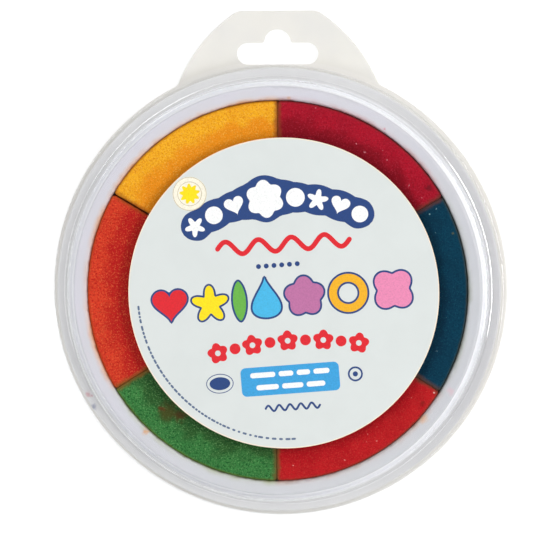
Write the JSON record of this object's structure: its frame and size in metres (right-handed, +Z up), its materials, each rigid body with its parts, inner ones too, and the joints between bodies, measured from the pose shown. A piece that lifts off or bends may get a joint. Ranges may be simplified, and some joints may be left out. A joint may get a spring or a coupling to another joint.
{
  "type": "ink pad",
  "caption": "Round multi-colour ink pad: stepped tray with a hang tab, foam wedges in a ring of colours, a clear lift-off lid and paper labels.",
  "frame": {"origin": "on the axis of the round case, on the surface that the tray stands on", "axes": "+Z up out of the lid, +Y towards the hang tab, +X to the right when the tab is at the top"},
  "size_m": [0.176, 0.1955, 0.0181],
  "materials": {
    "natural_plastic": "satin",
    "clear_plastic": "gloss",
    "label_paper": "satin",
    "foam_crimson": "matte",
    "foam_yellow": "matte",
    "foam_orange": "matte",
    "foam_green": "matte",
    "foam_red": "matte",
    "foam_blue": "matte"
  },
  "bodies": {
    "base": {"base_tray": "natural_plastic", "back_label": "label_paper", "foam_crimson": "foam_crimson", "foam_yellow": "foam_yellow", "foam_orange": "foam_orange", "foam_green": "foam_green", "foam_red": "foam_red", "foam_blue": "foam_blue"},
    "lid": {"lid": "clear_plastic", "front_label": "label_paper"}
  },
  "joints": [
    {"name": "lid_lift", "type": "slide", "parent": "base", "child": "lid", "axis": [0, 0, 1], "range_m": [0, 0.05]}
  ]
}
